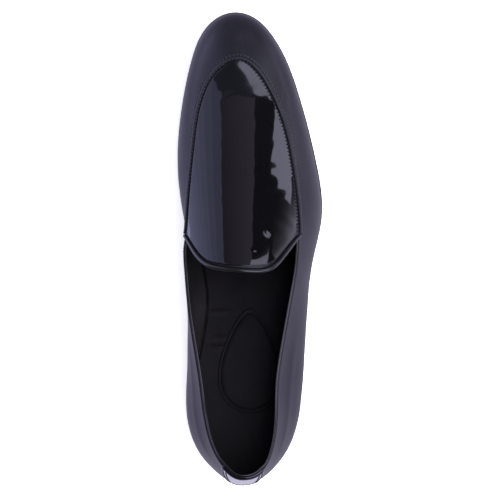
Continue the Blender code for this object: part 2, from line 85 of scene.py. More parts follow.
# how far the edge is cut in under waist and heel, in metres
bevelTable = columns(
    "station medial lateral",
    (0, 0.0016, 0.0016), (0.16, 0.002, 0.002), (0.24, 0.0034, 0.0026), (0.32, 0.008, 0.0034),
    (0.36, 0.0098, 0.0074), (0.42, 0.01, 0.0086), (0.5, 0.006, 0.0064), (0.57, 0.0034, 0.0056),
    (0.64, 0.0026, 0.0052), (0.78, 0.0026, 0.0044), (0.92, 0.003, 0.0034), (1, 0.003, 0.003),
)
# ridge of the vamp: share of the instep, and crown per metre
ridgeTable = columns(
    "station height crown",
    (0.44, 1.02, 10.8), (0.5, 0.92, 10.3), (0.555, 0.832, 9.8), (0.61, 0.752, 9.3),
    (0.67, 0.681, 8.9), (0.735, 0.618, 8.6), (0.8, 0.575, 8.5), (0.85, 0.554, 8.5),
    (0.9, 0.545, 8.5),
)
# collar, then apron seam: station along, and half widths
topLineTable = columns(
    "station along medial lateral",
    (0, 0.029, 0, 0), (0.03, 0.046, 0.109, 0.136), (0.08, 0.086, 0.196, 0.203),
    (0.15, 0.15, 0.255, 0.236), (0.24, 0.233, 0.29, 0.25), (0.32, 0.317, 0.332, 0.295),
    (0.39, 0.387, 0.362, 0.338), (0.46, 0.459, 0.38, 0.378), (0.495, 0.496, 0.383, 0.39),
    (0.525, 0.528, 0.368, 0.396), (0.56, 0.558, 0.358, 0.395), (0.6, 0.594, 0.35, 0.388),
    (0.68, 0.661, 0.33, 0.363), (0.76, 0.723, 0.307, 0.33), (0.83, 0.778, 0.281, 0.282),
    (0.89, 0.823, 0.24, 0.22), (0.94, 0.858, 0.18, 0.156), (0.975, 0.881, 0.106, 0.092),
    (1, 0.893, 0, 0),
)
# collar behind the notch, as a share of the back height
collarTable = columns(
    "station height",
    (0, 1), (0.03, 0.98), (0.08, 0.922), (0.15, 0.842), (0.24, 0.788), (0.32, 0.762), (0.39, 0.744),
    (0.46, 0.716),
)
# edge of the tongue behind the notches, medial to lateral
tongueTable = columns(
    "across depth",
    (-1, 0), (-0.88, 0.31), (-0.76, 0.58), (-0.62, 0.79), (-0.42, 0.91), (-0.15, 0.97), (0.15, 1),
    (0.4, 0.98), (0.56, 0.85), (0.7, 0.58), (0.85, 0.27), (1, 0),
)
# wall sections: lean in degrees, swell in metres, handle lengths as shares
sectionTable = columns(
    "station medialLean lateralLean medialSwell lateralSwell rise reach",
    (0, 80, 80, 0.0018, 0.0018, 0.34, 0.36), (0.08, 76, 76, 0.003, 0.003, 0.34, 0.36),
    (0.15, 74, 72, 0.0064, 0.005, 0.34, 0.36), (0.24, 76, 68, 0.0086, 0.0092, 0.35, 0.36),
    (0.32, 80, 67, 0.0118, 0.0104, 0.36, 0.36), (0.39, 88, 66, 0.01, 0.009, 0.37, 0.36),
    (0.46, 92, 63, 0.006, 0.0056, 0.39, 0.37), (0.525, 86, 57, 0.001, 0.0024, 0.41, 0.38),
    (0.6, 63, 50, 0, 0.0008, 0.43, 0.39), (0.68, 47, 44, 0.0006, 0.0006, 0.46, 0.4),
    (0.76, 40, 38, 0.0008, 0.0008, 0.49, 0.41), (0.83, 33, 32, 0.001, 0.001, 0.52, 0.42),
    (0.89, 27, 27, 0.0012, 0.0012, 0.55, 0.43), (0.94, 21, 21, 0.0013, 0.0013, 0.57, 0.44),
    (1, 17, 17, 0.0014, 0.0014, 0.58, 0.45),
)


def curveThrough(knots, values, levelEnds=False):
    count = len(knots)
    step = np.diff(knots)
    slope = np.diff(values) / step
    matrix = np.eye(count)
    load = np.zeros(count)
    for i in range(1, count - 1):
        matrix[i, i - 1 : i + 2] = step[i - 1], 2 * (step[i - 1] + step[i]), step[i]
        load[i] = 6 * (slope[i] - slope[i - 1])
    if levelEnds:
        matrix[0, :2] = 2 * step[0], step[0]
        matrix[-1, -2:] = step[-1], 2 * step[-1]
        load[0], load[-1] = 6 * slope[0], -6 * slope[-1]
    bend = np.linalg.solve(matrix, load)

    def at(x):
        i = np.clip(np.searchsorted(knots, x) - 1, 0, count - 2)
        h, left, right = step[i], knots[i + 1] - x, x - knots[i]
        cubic = (bend[i] * left**3 + bend[i + 1] * right**3) / (6 * h)
        low = (values[i] / h - bend[i] * h / 6) * left
        return cubic + low + (values[i + 1] / h - bend[i + 1] * h / 6) * right

    return at


def turnOf(station):  # steps of this angle close up where the outline rounds
    return np.arccos(1 - 2 * np.clip(station, 0, 1))


def stationOf(turn):
    return (1 - np.cos(turn)) / 2


def twoSided(table, medial, lateral, levelEnds):
    knots = turnOf(table["station"])
    inner = curveThrough(knots, table[medial], levelEnds)
    outer = curveThrough(knots, table[lateral], levelEnds)
    return lambda side, turn: np.where(side > 0, outer(turn), inner(turn))


outlineWidth = twoSided(outlineTable, "medial", "lateral", False)
topWidth = twoSided(topLineTable, "medial", "lateral", False)
wallLean = twoSided(sectionTable, "medialLean", "lateralLean", True)
wallSwell = twoSided(sectionTable, "medialSwell", "lateralSwell", True)
wallRise = curveThrough(turnOf(sectionTable["station"]), sectionTable["rise"], True)
wallReach = curveThrough(turnOf(sectionTable["station"]), sectionTable["reach"], True)
topAlong = curveThrough(turnOf(topLineTable["station"]), topLineTable["along"], True)
ridgeHeight = curveThrough(ridgeTable["station"], ridgeTable["height"])
ridgeCrown = curveThrough(ridgeTable["station"], ridgeTable["crown"])
footHeight = curveThrough(footLineTable["station"], footLineTable["height"])
tongueShare = curveThrough(tongueTable["across"], tongueTable["depth"])
notchTurn = float(turnOf(last["notch"]))
nudge = 1e-4  # step of the numerical slopes


def between(ends, share):
    return ends[0] + (ends[1] - ends[0]) * share


def smoothStep(share):
    share = np.clip(share, 0, 1)
    return share * share * (3 - 2 * share)


def hump(x, middle, width):  # soft ridge of height 1
    return np.exp(-(((x - middle) / width) ** 2))


def unit(vectors):
    return vectors / np.linalg.norm(vectors, axis=-1, keepdims=True)


def soleTop(station):
    return last["heel"] * footHeight(station)


def outlinePlan(side, turn):
    station = stationOf(turn)
    half = last["ballWidth"] * outlineWidth(side, turn)
    x = between(last["soleAxis"], station) + side * half
    return np.stack((x, last["length"] * station), -1)


def outward(side, turn):
    step = outlinePlan(side, turn + nudge) - outlinePlan(side, turn - nudge)
    return unit(np.stack((side * step[..., 1], -side * step[..., 0]), -1))


def insetPlan(side, turn, inset):
    return outlinePlan(side, turn) - np.asarray(inset)[..., None] * outward(side, turn)


def withHeight(plan, height):
    return np.concatenate((plan, np.broadcast_to(height, plan.shape[:-1])[..., None]), -1)


footTurns = np.linspace(0, math.pi, 1441)
topStations = topAlong(footTurns)


def footTurn(y):  # turn of the foot line that leads to the top line at this length
    return np.interp(y / last["length"], topStations, footTurns)


def topAxisAt(y):
    return between(last["topAxis"], stationOf(footTurn(y)))


def vampHeight(x, y):
    station = y / last["length"]
    return last["instep"] * ridgeHeight(station) - ridgeCrown(station) * (x - topAxisAt(y)) ** 2


def topPlan(side, turn):
    x = between(last["topAxis"], stationOf(turn))
    return x + side * last["ballWidth"] * topWidth(side, turn), last["length"] * topAlong(turn)


def collarCurve(side):  # the collar runs smoothly into the apron seam ahead of the notch
    past = topLineTable["station"] - last["notch"]
    ahead = topLineTable["station"][(past >= 0) & (past < last["seamRun"])]
    seam = vampHeight(*topPlan(side, turnOf(ahead)))
    knots = turnOf(np.append(collarTable["station"], ahead))
    return curveThrough(knots, np.append(last["back"] * collarTable["height"], seam))


collarMedial, collarLateral = collarCurve(-1), collarCurve(1)


def topPoint(side, turn):
    x, y = topPlan(side, turn)
    collar = np.where(side > 0, collarLateral(turn), collarMedial(turn))
    return np.stack((x, y, np.where(turn >= notchTurn, vampHeight(x, y), collar)), -1)


def wallPoint(side, turn, share):
    out = withHeight(outward(side, turn), 0.0)
    up = np.array((0.0, 0.0, 1.0))
    foot = insetPlan(side, turn, last["soleEdge"])
    foot = withHeight(foot, soleTop(stationOf(turn)) + last["seatGap"])
    top = topPoint(side, turn)
    lean = np.radians(wallLean(side, turn))[..., None]
    reach = wallReach(turn)[..., None] * np.linalg.norm(top - foot, axis=-1, keepdims=True)
    rise = (wallRise(turn) * (top - foot)[..., 2])[..., None]
    low = foot + out * wallSwell(side, turn)[..., None] + up * rise
    high = top + reach * (out * np.cos(lean) - up * np.sin(lean))
    s = np.broadcast_to(share, np.shape(turn))[..., None]
    r = 1 - s
    return r**3 * foot + 3 * r**2 * s * low + 3 * r * s**2 * high + s**3 * top


def wallNormal(side, turn, share):
    share = np.broadcast_to(share, np.shape(turn))
    along = wallPoint(side, turn + nudge, share) - wallPoint(side, turn - nudge, share)
    rise = wallPoint(side, turn, share + nudge) - wallPoint(side, turn, share - nudge)
    return unit(np.cross(along * np.asarray(side, float)[..., None], rise))


def runOf(path):  # length run at each point
    return np.append(0, np.cumsum(np.linalg.norm(np.diff(path, axis=0), axis=1)))


def wallBelow(side, turn, below):  # share of the wall this far under the top line
    shares = np.linspace(1, 0.2, 161)
    found = []
    for s, t, b in np.broadcast(side, turn, below):
        line = wallPoint(s, np.full_like(shares, t), shares)
        found.append(np.interp(b, runOf(line), shares))
    return np.array(found)


def wallLine(side, turn, below, rise=0.0):  # points this far under the top line, and their normals
    share = wallBelow(side, turn, below)
    normals = wallNormal(side, turn, share)
    return wallPoint(side, turn, share) + rise * normals, normals


def tongueEdge(across):
    return last["length"] * topAlong(notchTurn) - last["tongueDepth"] * tongueShare(across)


def vampPlan(across, y, inset=0.0):
    turn = np.maximum(footTurn(y + inset), notchTurn)
    half = last["ballWidth"] * topWidth(across, turn) - inset
    return topAxisAt(y) + across * np.maximum(half, 0), y


def vampNormal(x, y):
    e = 2 * nudge
    slopeX = (vampHeight(x + e, y) - vampHeight(x - e, y)) / (2 * e)
    slopeY = (vampHeight(x, y + e) - vampHeight(x, y - e)) / (2 * e)
    return unit(np.stack((-slopeX, -slopeY, np.ones_like(slopeX)), -1))


# Where the last stands in the frame: its heel's back and its sides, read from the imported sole
soleLow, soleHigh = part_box("outsole")
ringTurns = np.linspace(0, math.pi, 721)
outlineEnds = outlinePlan(-1, ringTurns)[:, 0].min(), outlinePlan(1, ringTurns)[:, 0].max()
lastPlace = np.array(((soleLow[0] + soleHigh[0] - sum(outlineEnds)) / 2, soleLow[1], 0.0))
weld = {"points": 1e-5, "slivers": 1e-7}
softEdge = {"width": 0.0003, "segments": 2}


def addSheet(bm, across, along, place):
    made = bmesh.ops.create_grid(bm, x_segments=across, y_segments=along, size=0.5)["verts"]
    share = np.array([v.co[:2] for v in made]) + 0.5
    for vert, point in zip(made, place(share[:, 0], share[:, 1]) + lastPlace):
        vert.co = point


def makeObject(name, bm):
    mesh = bpy.data.meshes.new(name)
    bm.to_mesh(mesh)
    bm.free()
    made = bpy.data.objects.new(name, mesh)
    bpy.context.scene.collection.objects.link(made)
    return made


def makePiece(name, bm, finishes, slot, *nodes):
    piece = makeObject(name, bm)
    piece.data.shade_smooth()
    for finish in finishes:
        piece.data.materials.append(finish)
    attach(piece, "root")
    if nodes:
        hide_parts(*nodes)
    return piece


def sheetPiece(name, sheets, finishes, slot, *nodes, turned=False, capped=False, weldAt=weld["points"]):
    # grids shaped by their place functions and welded; turned ones get their faces set outward
    bm = bmesh.new()
    for across, along, place in sheets:
        addSheet(bm, across, along, place)
    bmesh.ops.remove_doubles(bm, verts=bm.verts, dist=weldAt)
    bmesh.ops.dissolve_degenerate(bm, edges=bm.edges, dist=weld["slivers"])
    if capped:
        bmesh.ops.holes_fill(bm, edges=[e for e in bm.edges if e.is_boundary], sides=0)
    if turned:
        bmesh.ops.recalc_face_normals(bm, faces=bm.faces)
    return makePiece(name, bm, finishes, slot, *nodes)


def thicken(piece, thickness, outside=False, innerFinish=0, even=True):
    wall = piece.modifiers.new("wall", "SOLIDIFY")
    wall.thickness = thickness
    wall.offset = 1 if outside else -1
    wall.use_even_offset = even
    wall.use_quality_normals = True
    wall.material_offset = wall.material_offset_rim = innerFinish


def softenEdges(piece, angle):
    bevel = piece.modifiers.new("soft edges", "BEVEL")
    bevel.width = softEdge["width"]
    bevel.segments = softEdge["segments"]
    bevel.limit_method = "ANGLE"
    bevel.angle_limit = math.radians(angle)


def tubePiece(name, path, normals, radius, ring, finish, slot, *nodes, flat=1.0, capped=True,
              weldAt=weld["points"]):
    # a ring of points round each step of the path; flat squeezes it along the normal
    tangents = unit(np.gradient(path, axis=0))
    sideways = unit(np.cross(tangents, normals))
    upright = np.cross(sideways, tangents)
    steps = len(path) - 1
    radius = np.broadcast_to(radius, len(path))

    def place(u, w):
        step = np.rint(u * steps).astype(int)
        angle = 2 * math.pi * w
        across = np.cos(angle)[:, None] * sideways[step]
        rise = flat * np.sin(angle)[:, None] * upright[step]
        return path[step] + radius[step, None] * (across + rise)

    sheetPiece(name, [(steps, ring, place)], (finish,), slot, *nodes, turned=True, capped=capped,
               weldAt=weldAt)


def alongRun(run, rows, place):
    return np.array([np.interp(place, run, column) for column in rows.T])


def stitchPiece(name, lines, pitch, size, finish, slot, turned=0):
    # small thread humps along each line, turned by so many degrees about the surface's normal
    bm = bmesh.new()
    shape = Matrix.Diagonal((*size, 1))
    for path, normals in lines:
        run = runOf(path)
        for place in np.arange(pitch / 2, run[-1], pitch):
            spot = Vector(alongRun(run, path, place) + lastPlace)
            ahead = Vector(alongRun(run, path, place + nudge) + lastPlace)
            up = Vector(alongRun(run, normals, place)).normalized()
            along = (ahead - spot).normalized()
            along.rotate(Matrix.Rotation(math.radians(turned), 3, up))
            turn = Matrix((along, up.cross(along), up)).transposed().to_4x4()
            matrix = Matrix.Translation(spot) @ turn @ shape
            bmesh.ops.create_icosphere(bm, subdivisions=2, radius=0.5, matrix=matrix)
    makePiece(name, bm, (finish,), slot)


print("last worked out")


# Finishes
def newGroup(name, inputs, outputs):
    group = bpy.data.node_groups.new(name, "ShaderNodeTree")
    for label, value in inputs.items():
        socket = group.interface.new_socket(label, in_out="INPUT", socket_type="NodeSocketFloat")
        socket.default_value = value
    for label in outputs:
        group.interface.new_socket(label, in_out="OUTPUT", socket_type="NodeSocketFloat")
    return group, group.nodes.new("NodeGroupInput"), group.nodes.new("NodeGroupOutput")


def feed(tree, socket, value):
    if isinstance(value, bpy.types.NodeSocket):
        tree.links.new(value, socket)
    else:
        socket.default_value = value


def addNode(tree, kind, settings=(), **sockets):
    node = tree.nodes.new(kind)
    for key, value in dict(settings).items():
        setattr(node, key, value)
    for label, value in sockets.items():
        feed(tree, node.inputs[label.replace("_", " ")], value)
    return node


def mathNode(tree, operation, first, second, kind="ShaderNodeMath"):
    node = addNode(tree, kind, {"operation": operation})
    for socket, value in zip(node.inputs, (first, second)):
        feed(tree, socket, value)
    return node.outputs["Value"]


def remap(tree, value, source, target):
    node = addNode(tree, "ShaderNodeMapRange", Value=value)
    for label, number in zip(("From Min", "From Max", "To Min", "To Max"), (*source, *target)):
        node.inputs[label].default_value = number
    return node.outputs["Result"]


def mixColours(tree, share, first, second, blend="MIX"):
    node = addNode(tree, "ShaderNodeMix", {"data_type": "RGBA", "blend_type": blend}, Factor=share)
    for label, colour in (("A", first), ("B", second)):
        socket = [s for s in node.inputs if s.name == label and s.type == "RGBA"][0]
        feed(tree, socket, (*colour, 1) if isinstance(colour, tuple) else colour)
    return [s for s in node.outputs if s.type == "RGBA"][0]


def makeGrainGroup():  # pores and fine wrinkles of a hide, and slow clouds of tone
    group, given, result = newGroup(
        "hideGrain",
        {"Pore Scale": 1500, "Wrinkle Scale": 420, "Cloud Scale": 26},
        ("Height", "Cloud"),
    )
    place = group.nodes.new("ShaderNodeTexCoord").outputs["Object"]
    pores = addNode(
        group, "ShaderNodeTexVoronoi", {"feature": "SMOOTH_F1"},
        Vector=place, Scale=given.outputs["Pore Scale"], Smoothness=0.4,
    )
    wrinkles = addNode(
        group, "ShaderNodeTexNoise",
        Vector=place, Scale=given.outputs["Wrinkle Scale"], Detail=3.0, Distortion=0.6,
    )
    cloud = addNode(
        group, "ShaderNodeTexNoise",
        Vector=place, Scale=given.outputs["Cloud Scale"], Detail=4.0, Roughness=0.55,
    )
    height = mathNode(group, "ADD", pores.outputs["Distance"], wrinkles.outputs["Fac"])
    group.links.new(height, result.inputs["Height"])
    group.links.new(cloud.outputs["Fac"], result.inputs["Cloud"])
    return group


def makeRubGroup():  # faint marks of handling, drawn out along the shoe
    contrast = 8.0
    group, given, result = newGroup("handlingRub", {"Scale": 60, "Cover": 0.6}, ("Mask",))
    place = group.nodes.new("ShaderNodeTexCoord").outputs["Object"]
    drawn = addNode(group, "ShaderNodeMapping", Vector=place, Scale=(1.0, 0.35, 1.0))
    marks = addNode(
        group, "ShaderNodeTexNoise",
        Vector=drawn.outputs["Vector"], Scale=given.outputs["Scale"], Detail=6.0, Roughness=0.7,
    )
    above = mathNode(group, "SUBTRACT", marks.outputs["Fac"], given.outputs["Cover"])
    mask = mathNode(group, "MULTIPLY", mathNode(group, "MAXIMUM", above, 0.0), contrast)
    group.links.new(mask, result.inputs["Mask"])
    return group


hideGrain = makeGrainGroup()
handlingRub = makeRubGroup()


def placeGroup(tree, group, values):
    node = addNode(tree, "ShaderNodeGroup", {"node_tree": group})
    for label, value in values.items():
        node.inputs[label].default_value = value
    return node


def scuffMask(tree, spots):  # soft grey patches round the given places
    place = tree.nodes.new("ShaderNodeTexCoord").outputs["Object"]
    streaks = addNode(tree, "ShaderNodeTexNoise", Vector=place, Scale=900.0, Detail=4.0)
    streaky = remap(tree, streaks.outputs["Fac"], (0.5, 0.7), (0, 1))
    mask = 0.0
    for spot, reach in spots:
        away = mathNode(tree, "DISTANCE", place, spot, kind="ShaderNodeVectorMath")
        near = remap(tree, away, (0.0, reach), (1.0, 0.0))
        mask = mathNode(tree, "ADD", mask, mathNode(tree, "MULTIPLY", near, streaky))
    return mask


hideUsual = {"rubCover": 0.58, "rubShare": 0.4, "rubRough": 0.05, "bumpDepth": 0.0002}


def hideFinish(name, own):
    look = hideUsual | own
    finish = bpy.data.materials.new(name)
    finish.use_nodes = True
    tree = finish.node_tree
    shader = tree.nodes["Principled BSDF"]
    scales = dict(zip(("Pore Scale", "Wrinkle Scale", "Cloud Scale"), look["scales"]))
    grain = placeGroup(tree, hideGrain, scales)
    rubbing = placeGroup(tree, handlingRub, {"Scale": look["rubScale"], "Cover": look["rubCover"]})
    rub = rubbing.outputs["Mask"]
    cloud = remap(tree, grain.outputs["Cloud"], (0.3, 0.7), (0, 1))
    colour = mixColours(tree, cloud, look["dark"], look["light"])
    if "scuffs" in look:
        rub = mathNode(tree, "MAXIMUM", rub, scuffMask(tree, look["scuffs"]))
    colour = mixColours(tree, mathNode(tree, "MULTIPLY", rub, look["rubShare"]), colour, look["rubbed"])
    tree.links.new(colour, shader.inputs["Base Color"])
    roughness = remap(tree, cloud, (0, 1), look["roughness"])
    roughness = mathNode(tree, "ADD", roughness, mathNode(tree, "MULTIPLY", rub, look["rubRough"]))
    tree.links.new(roughness, shader.inputs["Roughness"])
    bump = addNode(
        tree, "ShaderNodeBump",
        Strength=look["bump"], Distance=look["bumpDepth"], Height=grain.outputs["Height"],
    )
    tree.links.new(bump.outputs["Normal"], shader.inputs["Normal"])
    for label, value in look.get("fixed", {}).items():
        shader.inputs[label].default_value = value
    return finish


calfFinish = hideFinish("satinCalf", {
    "dark": (0.0060, 0.0060, 0.0092),
    "light": (0.0100, 0.0097, 0.0142),
    "rubbed": (0.022, 0.021, 0.027),
    "rubScale": 70, "rubShare": 0.35, "rubRough": 0.06,
    "roughness": (0.34, 0.42),
    "scales": (1500, 420, 26), "bump": 0.2,
    "fixed": {"Coat Weight": 0.12, "Coat Roughness": 0.3},
})
patentFinish = hideFinish("patentHide", {
    "dark": (0.0014, 0.0014, 0.0020),
    "light": (0.0026, 0.0025, 0.0034),
    "rubbed": (0.008, 0.008, 0.010),
    "rubScale": 90, "rubCover": 0.62, "rubShare": 0.3, "rubRough": 0.03,
    "roughness": (0.05, 0.08),
    "scales": (260, 90, 18), "bump": 0.015, "bumpDepth": 0.0003,
    "fixed": {"Coat Weight": 0.9, "Coat Roughness": 0.02},
})
pipingFinish = hideFinish("pipedHide", {
    "dark": (0.0050, 0.0044, 0.0042),
    "light": (0.0085, 0.0075, 0.0070),
    "rubbed": (0.020, 0.018, 0.017),
    "rubScale": 120, "rubCover": 0.56,
    "roughness": (0.14, 0.20),
    "scales": (1500, 520, 40), "bump": 0.1,
    "fixed": {"Coat Weight": 0.9, "Coat Roughness": 0.06},
})
liningFinish = hideFinish("liningHide", {
    "dark": (0.0096, 0.0087, 0.0105),
    "light": (0.0150, 0.0137, 0.0163),
    "rubbed": (0.021, 0.0195, 0.0225),
    "rubScale": 80,
    "roughness": (0.48, 0.60),
    "scales": (1900, 300, 40), "bump": 0.3,
    "fixed": {"Specular IOR Level": 0.15},
})
sockFinish = hideFinish("sockHide", {
    "dark": (0.0036, 0.0031, 0.0040),
    "light": (0.0067, 0.0058, 0.0072),
    "rubbed": (0.011, 0.0096, 0.012),
    "rubScale": 80,
    "roughness": (0.45, 0.56),
    "scales": (1900, 300, 40), "bump": 0.3,
    "fixed": {"Specular IOR Level": 0.12},
})
rubberFinish = hideFinish("mouldedRubber", {
    "dark": (0.0120, 0.0120, 0.0150),
    "light": (0.0190, 0.0185, 0.0225),
    "rubbed": (0.055, 0.054, 0.058),
    "rubScale": 55, "rubCover": 0.60, "rubShare": 0.35, "rubRough": 0.15,
    "roughness": (0.36, 0.50),
    "scales": (3000, 700, 32), "bump": 0.12,
    "scuffs": [
        ((0.006, -0.071, 0.006), 0.009),
        ((-0.004, -0.073, 0.006), 0.007),
        ((-0.004, -0.092, 0.002), 0.006),
    ],
})
threadLook = {"rubScale": 200, "rubCover": 0.55, "scales": (6000, 2400, 60), "bump": 0.4, "bumpDepth": 0.0001}
darkThreadFinish = hideFinish("darkThread", threadLook | {
    "dark": (0.0030, 0.0030, 0.0040),
    "light": (0.0070, 0.0068, 0.0084),
    "rubbed": (0.014, 0.014, 0.016),
    "roughness": (0.40, 0.55),
    "fixed": {"Specular IOR Level": 0.12},
})
threadFinish = hideFinish("waxedThread", threadLook | {
    "dark": (0.0300, 0.0295, 0.0335),
    "light": (0.0520, 0.0510, 0.0560),
    "rubbed": (0.070, 0.070, 0.075),
    "roughness": (0.38, 0.50),
})
print("finishes made")


# Upper: quarters and mudguard in one wall, with the vamp that carries the apron
upper = {
    "quarterGrid": (180, 44),
    "mudguardGrid": (160, 44),
    "vampGrid": (40, 80),
    "counterRidge": {
        "height": 0.00035, "share": 0.66, "climb": 0.12, "width": 0.07,
        "from": 0.05, "to": 0.33, "fadeIn": 0.05, "fadeOut": 0.06,
    },
    "waveHeight": 0.00005,
    "waves": [
        {"size": 1.0, "along": 165, "up": 3.1, "bySide": 1},
        {"size": 0.7, "along": 290, "up": -7.3, "bySide": 2},
    ],
    "plainRims": 8,
}


def wallRelief(side, turn, share):
    # edge of the heel stiffener, and the slight unevenness of lasted leather
    ridge = upper["counterRidge"]
    station = stationOf(turn)
    window = smoothStep((station - ridge["from"]) / ridge["fadeIn"])
    window = window * smoothStep((ridge["to"] - station) / ridge["fadeOut"])
    relief = ridge["height"] * window * hump(share, ridge["share"] + ridge["climb"] * station, ridge["width"])
    y = last["length"] * station
    waves = 0
    for wave in upper["waves"]:
        swing = np.sin(y * wave["along"] + wave["up"] * share + wave["bySide"] * side)
        waves = waves + wave["size"] * swing
    return relief + upper["waveHeight"] * np.sin(math.pi * share) ** 0.5 * waves


def shapedWall(side, turn, share):
    rims = upper["plainRims"]
    relief = wallRelief(side, turn, share) * smoothStep(share * rims) * smoothStep((1 - share) * rims)
    return wallPoint(side, turn, share) + relief[:, None] * wallNormal(side, turn, share)


def quarterPlace(u, w):  # from the medial notch round the heel to the lateral notch
    side = np.where(u < 0.5, -1, 1)
    return shapedWall(side, np.abs(2 * u - 1) * notchTurn, w)


def seamTurn(u):  # side and turn from the lateral notch round the toe to the medial notch
    return np.where(u < 0.5, 1, -1), math.pi - np.abs(1 - 2 * u) * (math.pi - notchTurn)


def mudguardPlace(u, w):
    side, turn = seamTurn(u)
    return shapedWall(side, turn, w)


apronTip = last["length"] * topAlong(math.pi)


def vampRow(w):  # share of the way from the throat to the apron's front for a seam step
    turn = notchTurn + w * (math.pi - notchTurn)
    ends = topAlong(notchTurn), topAlong(math.pi)
    return (topAlong(turn) - ends[0]) / (ends[1] - ends[0])


def vampPlace(u, w):
    across = 2 * u - 1
    x, y = vampPlan(across, between((tongueEdge(across), apronTip), vampRow(w)))
    return np.stack((x, y, vampHeight(x, y)), -1)


upperSheets = [
    (*upper["quarterGrid"], quarterPlace),
    (*upper["mudguardGrid"], mudguardPlace),
    (*upper["vampGrid"], vampPlace),
]
upperShell = sheetPiece("upperShell", upperSheets, (calfFinish, liningFinish), "calf", "upper")
thicken(upperShell, last["wall"], innerFinish=1)
print("upper made")


def creased(relief, creases, x, y):  # a relief with soft creases added, each across the shoe
    for crease in creases:
        line = crease["y"] + crease.get("skew", 0) * (x - crease["x"])
        ridge = hump(y, line, crease["width"]) * hump(x, crease["x"], crease["run"])
        relief = relief + crease["height"] * ridge
    return relief


# Apron: the patent plug, rolled down at its edge, with the creases of its flex line
apron = {
    "grid": (120, 170),
    "rowSpread": (0.3, 1.0),
    "inset": 0.0006,
    "top": 0.0012,
    "thick": 0.0007,
    "sideRoll": {"depth": 0.0006, "width": 0.0008},
    "throatRoll": {"depth": 0.0004, "width": 0.0004},
    "throatLip": {"height": 0.0005, "width": 0.0040, "reach": 0.019},
    "creases": [
        {"x": -0.0142, "y": 0.2448, "run": 0.006, "width": 0.0012, "height": 0.00008, "skew": 0.5},
        {"x": 0.004, "y": 0.2415, "run": 0.024, "width": 0.0080, "height": -0.00035, "skew": -0.15},
        {"x": 0.0108, "y": 0.1606, "run": 0.0023, "width": 0.0034, "height": -0.00023, "skew": -0.2},
        {"x": 0.0034, "y": 0.1482, "run": 0.0016, "width": 0.0014, "height": -0.00010},
    ],
    "ripples": {
        "heights": (0.000012, 0.000038), "overX": 0.02, "fromY": 0.170, "overY": 0.03,
        "across": {"cycles": 430, "swing": 1.6, "swingCycles": 190, "start": 0},
        "along": {"cycles": 330, "swing": 1.3, "swingCycles": 240, "start": 0.8},
    },
}


def seamDistance(across, y):  # how far inside the seam a point of the vamp is, in plan
    side = np.where(across < 0, -1, 1)
    e = 2 * nudge
    halves = [np.abs(vampPlan(side, y + step)[0] - topAxisAt(y + step)) for step in (-e, 0, e)]
    slant = (halves[2] - halves[0]) / (2 * e)
    return (1 - np.abs(across)) * halves[1] / np.sqrt(1 + slant**2)


def swungWave(wave, main, other):
    swing = wave["swing"] * np.sin(other * wave["swingCycles"])
    return np.sin(main * wave["cycles"] + swing + wave["start"])


def apronRelief(x, y):
    relief = creased(np.zeros_like(x), apron["creases"], x, y)
    ripples = apron["ripples"]
    grown = smoothStep(x / ripples["overX"]) * smoothStep((y - ripples["fromY"]) / ripples["overY"])
    ripple = swungWave(ripples["across"], x, y) * swungWave(ripples["along"], y, x)
    return relief + between(ripples["heights"], grown) * ripple


def apronHeight(x, y, seamAway, throatAway):  # above the vamp
    lip = apron["throatLip"]
    lift = lip["height"] * np.exp(-throatAway / lip["width"]) * hump(x, 0, lip["reach"])
    fall = 0
    for roll, away in ((apron["sideRoll"], seamAway), (apron["throatRoll"], throatAway)):
        fall = fall + roll["depth"] * (1 - smoothStep(away / roll["width"]))
    return apron["top"] + apronRelief(x, y) + lift - fall


def apronPlace(u, w):
    across = np.sin(math.pi * (u - 0.5))  # columns and rows are closer at the rolled edges
    inset = apron["inset"]
    back = tongueEdge(across) + inset
    row = vampRow(w * between(apron["rowSpread"], w))
    x, y = vampPlan(across, between((back, apronTip - inset), row), inset)
    surface = np.stack((x, y, vampHeight(x, y)), -1)
    height = apronHeight(x, y, seamDistance(across, y), y - back)
    return surface + height[:, None] * vampNormal(x, y)


apronSheet = *apron["grid"], apronPlace
apronPlug = sheetPiece("apronPlug", [apronSheet], (patentFinish,), "patent", "apron")
thicken(apronPlug, apron["thick"], even=False)
print("apron made")


# Apron seam: the mudguard's folded edge, with a row of stitches on each side
seam = {
    "steps": 300,
    "ring": 16,
    "width": 0.0025,
    "below": 0.0008,
    "rise": 0.0007,
    "flat": 0.60,
    "pitch": 0.00236,
    "stitchSteps": 500,
    "overEdge": {
        "inside": (0.0005, 0.0014), "sideBlend": 0.02,
        "size": (0.0024, 0.0010, 0.0008), "turned": 74,
    },
    "runAlong": {"below": 0.0029, "rise": 0.0003, "size": (0.0014, 0.0009, 0.0008)},
}


def seamLine(below, rise, count):
    side, turn = seamTurn(np.linspace(0, 1, count))
    return wallLine(side, turn, below, rise)


def apronEdgeLine(edge, count):  # inside the seam, by other distances medially and laterally
    awayFromThroat = 1.0
    plan = np.stack(topPlan(*seamTurn(np.linspace(0, 1, count))), -1)
    ahead = unit(np.gradient(plan, axis=0))
    inside = between(edge["inside"], smoothStep(0.5 + plan[:, 0] / edge["sideBlend"]))
    plan += inside[:, None] * np.stack((-ahead[:, 1], ahead[:, 0]), -1)
    x, y = plan.T
    normals = vampNormal(x, y)
    height = apronHeight(x, y, inside, awayFromThroat)
    return np.stack((x, y, vampHeight(x, y)), -1) + height[:, None] * normals, normals


path, normals = seamLine(seam["below"], seam["rise"], seam["steps"] + 1)
tubePiece(
    "apronSeam", path, normals, seam["width"] / 2, seam["ring"],
    calfFinish, "calf", "apron_seam", flat=seam["flat"],
)

